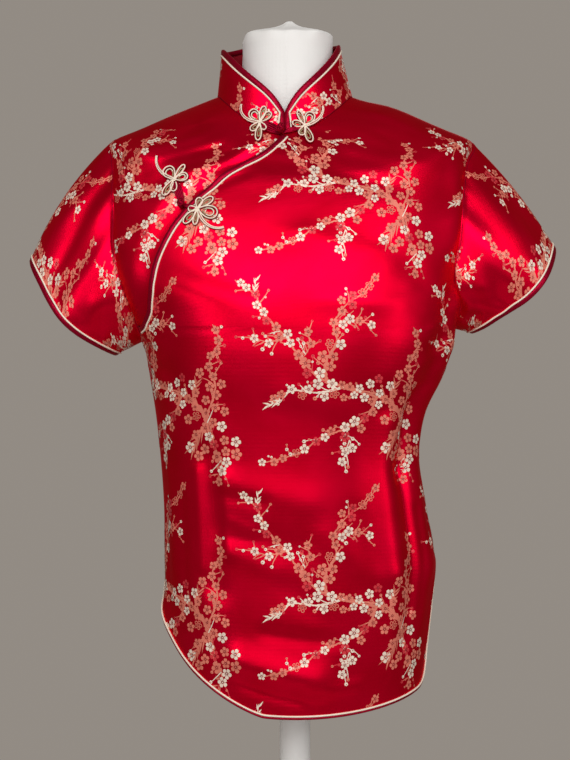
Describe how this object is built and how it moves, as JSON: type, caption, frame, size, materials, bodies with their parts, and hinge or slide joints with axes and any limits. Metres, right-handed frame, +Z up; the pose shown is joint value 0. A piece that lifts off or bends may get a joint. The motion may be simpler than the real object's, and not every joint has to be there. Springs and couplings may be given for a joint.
{
  "type": "short-sleeved mandarin-collar blouse on dress form",
  "caption": "Short-sleeved satin blouse with mandarin collar, slanting opening, frogs and side slits, worn on a limbless dress form with pole and round base.",
  "frame": {"origin": "centre of the base's underside, under the pole, on the surface it stands on", "axes": "+Z up, -Y out of the garment's front, +X to the right of someone facing the front"},
  "size_m": [0.5671, 0.33, 1.282],
  "materials": {
    "satin": "satin brocade, red with woven plum blossom",
    "binding": "dark red satin bias",
    "piping": "cream satin cord",
    "jersey": "matt white jersey",
    "painted": "white, half matt"
  },
  "bodies": {
    "root": {"front_main": "satin", "front_under": "satin", "back": "satin", "collar": "satin", "sleeve_left": "satin", "sleeve_right": "satin", "binding_collar": "binding", "binding_opening": "binding", "binding_front_hem": "binding", "binding_back_hem": "binding", "binding_cuff_left": "binding", "binding_cuff_right": "binding", "piping_collar": "piping", "piping_opening": "piping", "piping_front_hem": "piping", "piping_back_hem": "piping", "piping_cuff_left": "piping", "piping_cuff_right": "piping", "frog_collar_left": "piping", "frog_collar_right": "piping", "frog_chest_upper": "piping", "frog_chest_lower": "piping", "knot_collar": "binding", "knot_chest": "binding", "form_body": "jersey", "form_pole": "painted", "form_base": "painted"}
  },
  "joints": []
}
